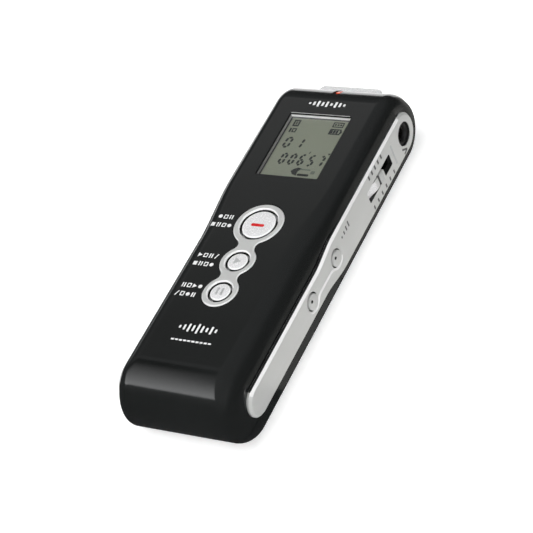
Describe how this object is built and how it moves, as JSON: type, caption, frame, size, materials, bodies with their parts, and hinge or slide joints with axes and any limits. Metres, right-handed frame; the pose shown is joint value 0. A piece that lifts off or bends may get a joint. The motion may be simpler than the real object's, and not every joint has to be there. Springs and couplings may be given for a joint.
{
  "type": "handheld voice recorder",
  "caption": "Slim handheld stereo voice recorder: gloss black shells, silver side trims, a small display, sprung buttons and a sliding battery door.",
  "frame": {"origin": "on the back plane, in the middle of the plan, with the recorder lying on its back", "axes": "+Z out of the front face, +Y towards the microphone end, +X towards the side with the headphone jack"},
  "size_m": [0.0345, 0.1036, 0.0189],
  "materials": {
    "gloss_black": "high gloss moulded plastic",
    "satin_black": "satin moulded plastic",
    "satin_silver": "silver paint over moulded plastic, satin",
    "bright_silver": "bright silver plating over moulded plastic",
    "clear_acrylic": "clear polished acrylic",
    "display_grey": "grey green liquid crystal panel behind glass",
    "white_plastic": "white moulded plastic",
    "grey_rubber": "conductive rubber strip",
    "board_green": "green solder mask",
    "chip_black": "moulded black epoxy",
    "steel": "plain steel",
    "cell_wrap": null,
    "light_orange": "translucent orange red light pipe"
  },
  "bodies": {
    "casing": {"front_shell": "gloss_black", "back_shell": "gloss_black", "right_side_trim": "satin_silver", "left_side_trim": "satin_silver", "microphone_head": "satin_silver", "microphone_mesh_left": "steel", "microphone_mesh_right": "steel", "microphone_capsule_left": "steel", "microphone_capsule_right": "steel", "display_bezel": "bright_silver", "display_lens": "clear_acrylic", "display_panel": "display_grey", "display_backlight": "white_plastic", "zebra_connector": "grey_rubber", "record_light_pipe": "light_orange", "record_led": "white_plastic", "button_bezel": "satin_silver", "rec_switch": "chip_black", "play_switch": "chip_black", "pause_switch": "chip_black", "volume_up_switch": "chip_black", "volume_down_switch": "chip_black", "slide_switch_body": "steel", "headphone_jack": "satin_black", "line_in_jack": "satin_black", "usb_port": "steel", "main_board": "board_green", "processor_chip": "chip_black", "flash_chip": "chip_black", "clock_crystal": "steel", "speaker": "chip_black", "battery_tray": "satin_black", "battery_cell_left": "cell_wrap", "battery_cell_right": "cell_wrap", "battery_spring_left": "steel", "battery_spring_right": "steel", "contact_plate_left": "steel", "contact_plate_right": "steel", "case_screw_1": "steel", "case_screw_2": "steel", "case_screw_3": "steel", "case_screw_4": "steel"},
    "rec_key": {"rec_button": "bright_silver"},
    "play_key": {"play_button": "bright_silver"},
    "pause_key": {"pause_button": "bright_silver"},
    "volume_up_key": {"volume_up_button": "bright_silver"},
    "volume_down_key": {"volume_down_button": "bright_silver"},
    "slide_knob": {"slide_switch_knob": "bright_silver"},
    "door": {"battery_door": "gloss_black"}
  },
  "joints": [
    {"name": "rec_press", "type": "slide", "parent": "casing", "child": "rec_key", "axis": [0, 0, -1], "range_m": [0, 0.0004], "stiffness_N_per_m": 1200, "springref_m": -0.0003},
    {"name": "play_press", "type": "slide", "parent": "casing", "child": "play_key", "axis": [0, 0, -1], "range_m": [0, 0.0004], "stiffness_N_per_m": 1200, "springref_m": -0.0003},
    {"name": "pause_press", "type": "slide", "parent": "casing", "child": "pause_key", "axis": [0, 0, -1], "range_m": [0, 0.0004], "stiffness_N_per_m": 1200, "springref_m": -0.0003},
    {"name": "volume_up_press", "type": "slide", "parent": "casing", "child": "volume_up_key", "axis": [-1, 0, 0], "range_m": [0, 0.0004], "stiffness_N_per_m": 1200, "springref_m": -0.0003},
    {"name": "volume_down_press", "type": "slide", "parent": "casing", "child": "volume_down_key", "axis": [-1, 0, 0], "range_m": [0, 0.0004], "stiffness_N_per_m": 1200, "springref_m": -0.0003},
    {"name": "slide_switch_slide", "type": "slide", "parent": "casing", "child": "slide_knob", "axis": [0, 1, 0], "range_m": [0, 0.0045]},
    {"name": "battery_door_slide", "type": "slide", "parent": "casing", "child": "door", "axis": [0, -1, 0], "range_m": [0, 0.012]}
  ]
}
